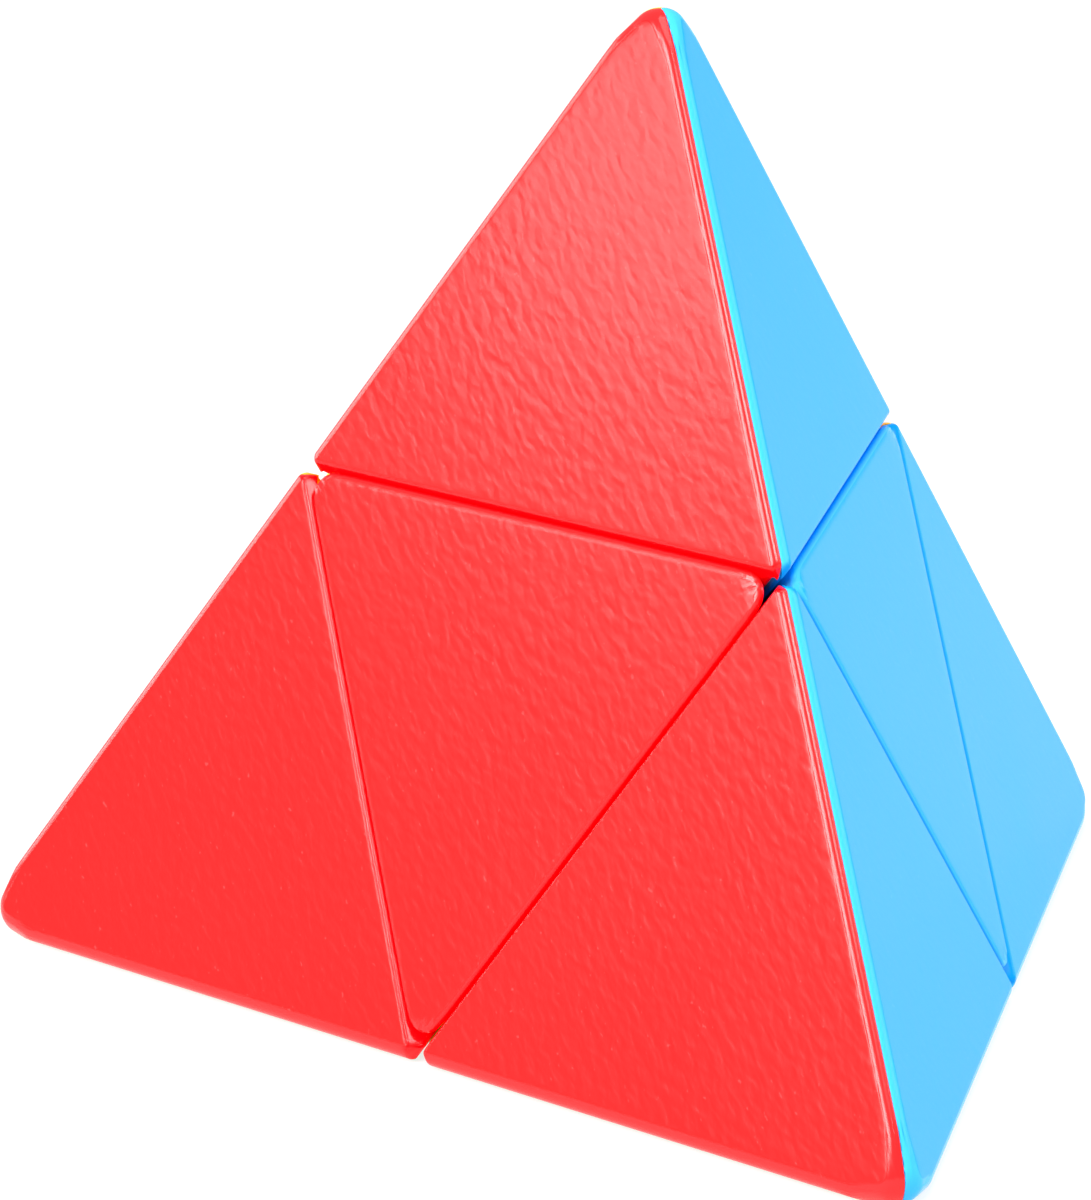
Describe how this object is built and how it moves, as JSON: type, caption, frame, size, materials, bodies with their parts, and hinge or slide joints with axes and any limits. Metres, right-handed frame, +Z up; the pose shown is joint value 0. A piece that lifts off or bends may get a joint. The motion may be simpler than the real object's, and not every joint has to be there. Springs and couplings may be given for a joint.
{
  "type": "pyramid twisty puzzle",
  "caption": "Tetrahedral twisty puzzle with a different plain colour on each face, cut through its middle so that one half turns against the other on a hidden sprung mechanism.",
  "frame": {"origin": "middle of the green bottom face, on the surface the puzzle stands on", "axes": "+Z up out of the bottom face through the top tip; -Y through the front tip; +X to the right of a viewer who faces the front tip"},
  "size_m": [0.0718, 0.063, 0.0594],
  "materials": {
    "red_shell": "moulded red shell, satin, fine leathery grain on the faces and smooth rounded edges",
    "blue_shell": "moulded sky blue shell, smooth satin",
    "yellow_shell": "moulded yellow shell, satin with a fine grain",
    "green_shell": "moulded green shell, satin with a fine grain",
    "inner_plastic": "black moulded plastic, smooth where it slides",
    "screw_steel": "bright zinc-plated cross-recessed screw",
    "spring_steel": "drawn spring wire"
  },
  "bodies": {
    "fixed_half": {"cap_left_front": "inner_plastic", "cap_right_front": "inner_plastic", "cap_right_left": "inner_plastic", "cap_top_front": "inner_plastic", "cap_top_left": "inner_plastic", "centre_foot_green": "inner_plastic", "centre_foot_red": "inner_plastic", "centre_panel_green": "green_shell", "centre_panel_red": "red_shell", "core": "inner_plastic", "corner_foot_front": "inner_plastic", "corner_foot_left": "inner_plastic", "corner_panel_front_blue": "blue_shell", "corner_panel_front_green": "green_shell", "corner_panel_front_red": "red_shell", "corner_panel_left_green": "green_shell", "corner_panel_left_red": "red_shell", "corner_panel_left_yellow": "yellow_shell", "inner_edge_front_blue": "inner_plastic", "inner_edge_front_green": "inner_plastic", "inner_edge_front_red": "inner_plastic", "inner_edge_left_green": "inner_plastic", "inner_edge_left_red": "inner_plastic", "inner_edge_left_yellow": "inner_plastic", "inner_edge_right_green": "inner_plastic", "inner_edge_top_red": "inner_plastic", "screw_left_front": "screw_steel", "screw_right_front": "screw_steel", "screw_right_left": "screw_steel", "screw_top_front": "screw_steel", "screw_top_left": "screw_steel", "screw_top_right": "screw_steel", "spring_left_front": "spring_steel", "spring_right_front": "spring_steel", "spring_right_left": "spring_steel", "spring_top_front": "spring_steel", "spring_top_left": "spring_steel", "spring_top_right": "spring_steel"},
    "turning_half": {"cap_top_right": "inner_plastic", "centre_foot_blue": "inner_plastic", "centre_foot_yellow": "inner_plastic", "centre_panel_blue": "blue_shell", "centre_panel_yellow": "yellow_shell", "corner_foot_right": "inner_plastic", "corner_foot_top": "inner_plastic", "corner_panel_right_blue": "blue_shell", "corner_panel_right_green": "green_shell", "corner_panel_right_yellow": "yellow_shell", "corner_panel_top_blue": "blue_shell", "corner_panel_top_red": "red_shell", "corner_panel_top_yellow": "yellow_shell", "inner_edge_right_blue": "inner_plastic", "inner_edge_right_yellow": "inner_plastic", "inner_edge_top_blue": "inner_plastic", "inner_edge_top_yellow": "inner_plastic"}
  },
  "joints": [
    {"name": "half_turn", "type": "hinge", "parent": "fixed_half", "child": "turning_half", "pos_m": [0, 0, 0.01551], "axis": [0.7071, 0.4082, 0.5774], "continuous": true}
  ]
}
